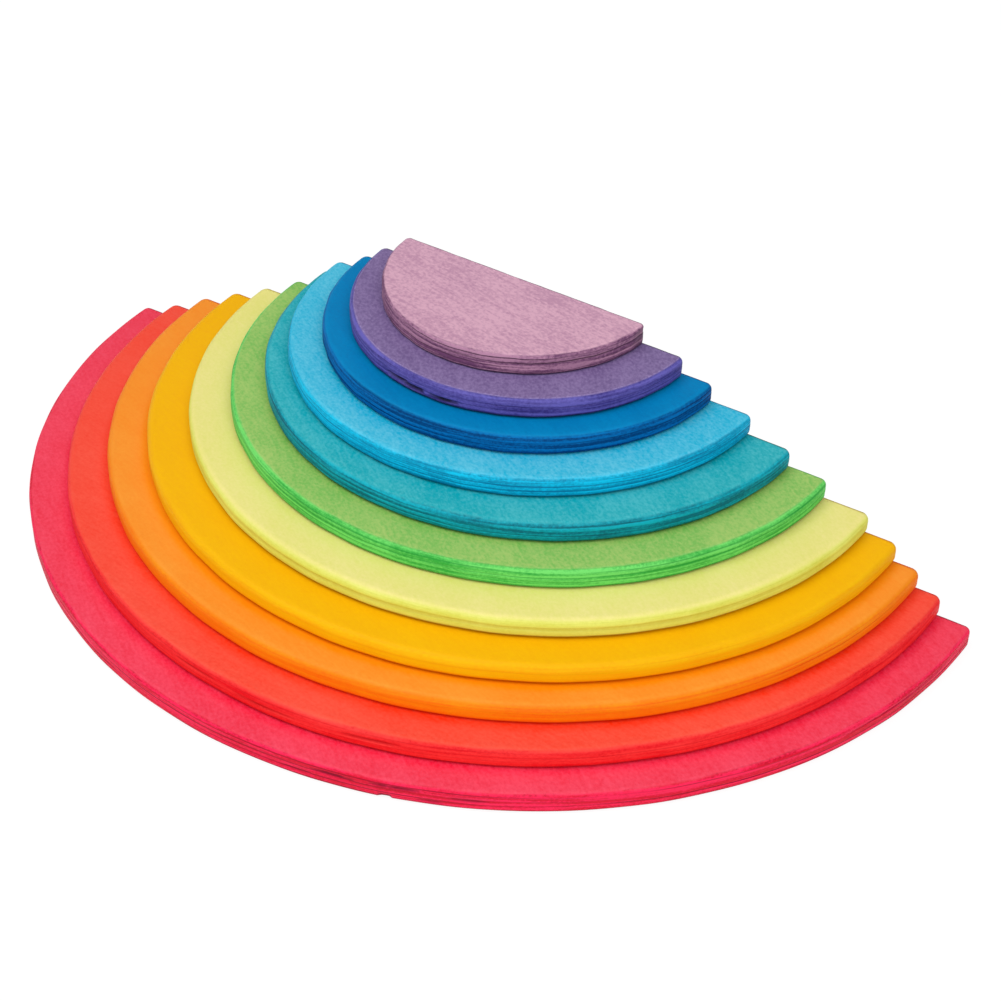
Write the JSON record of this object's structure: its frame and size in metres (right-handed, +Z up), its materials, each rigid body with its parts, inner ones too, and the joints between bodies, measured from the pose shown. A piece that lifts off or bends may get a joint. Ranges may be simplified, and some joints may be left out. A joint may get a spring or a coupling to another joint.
{
  "type": "rainbow semicircle stacker",
  "caption": "Stack of loose half-round plywood boards stained in rainbow colours, each a step smaller than the board under it, lifted off and laid out in play.",
  "frame": {"origin": "on the table top, under the middle of the stack", "axes": "+X along the straight sides, +Y from the arcs towards the straight sides, +Z up"},
  "size_m": [0.36, 0.1846, 0.0852],
  "materials": {
    "magenta_stain": "matte",
    "red_stain": "matte",
    "orange_stain": "matte",
    "amber_stain": "matte",
    "lime_stain": "matte",
    "green_stain": "matte",
    "teal_stain": "matte",
    "sky_stain": "matte",
    "blue_stain": "matte",
    "purple_stain": "matte",
    "lilac_stain": "matte"
  },
  "bodies": {
    "magenta": {"magenta_board": "magenta_stain"},
    "red": {"red_board": "red_stain"},
    "orange": {"orange_board": "orange_stain"},
    "amber": {"amber_board": "amber_stain"},
    "lime": {"lime_board": "lime_stain"},
    "green": {"green_board": "green_stain"},
    "teal": {"teal_board": "teal_stain"},
    "sky": {"sky_board": "sky_stain"},
    "blue": {"blue_board": "blue_stain"},
    "purple": {"purple_board": "purple_stain"},
    "lilac": {"lilac_board": "lilac_stain"}
  },
  "joints": [
    {"name": "red_lift", "type": "slide", "parent": "magenta", "child": "red", "axis": [0, 0, 1], "range_m": [0, 0.06]},
    {"name": "orange_lift", "type": "slide", "parent": "red", "child": "orange", "axis": [0, 0, 1], "range_m": [0, 0.06]},
    {"name": "amber_lift", "type": "slide", "parent": "orange", "child": "amber", "axis": [0, 0, 1], "range_m": [0, 0.06]},
    {"name": "lime_lift", "type": "slide", "parent": "amber", "child": "lime", "axis": [0, 0, 1], "range_m": [0, 0.06]},
    {"name": "green_lift", "type": "slide", "parent": "lime", "child": "green", "axis": [0, 0, 1], "range_m": [0, 0.06]},
    {"name": "teal_lift", "type": "slide", "parent": "green", "child": "teal", "axis": [0, 0, 1], "range_m": [0, 0.06]},
    {"name": "sky_lift", "type": "slide", "parent": "teal", "child": "sky", "axis": [0, 0, 1], "range_m": [0, 0.06]},
    {"name": "blue_lift", "type": "slide", "parent": "sky", "child": "blue", "axis": [0, 0, 1], "range_m": [0, 0.06]},
    {"name": "purple_lift", "type": "slide", "parent": "blue", "child": "purple", "axis": [0, 0, 1], "range_m": [0, 0.06]},
    {"name": "lilac_lift", "type": "slide", "parent": "purple", "child": "lilac", "axis": [0, 0, 1], "range_m": [0, 0.06]}
  ]
}
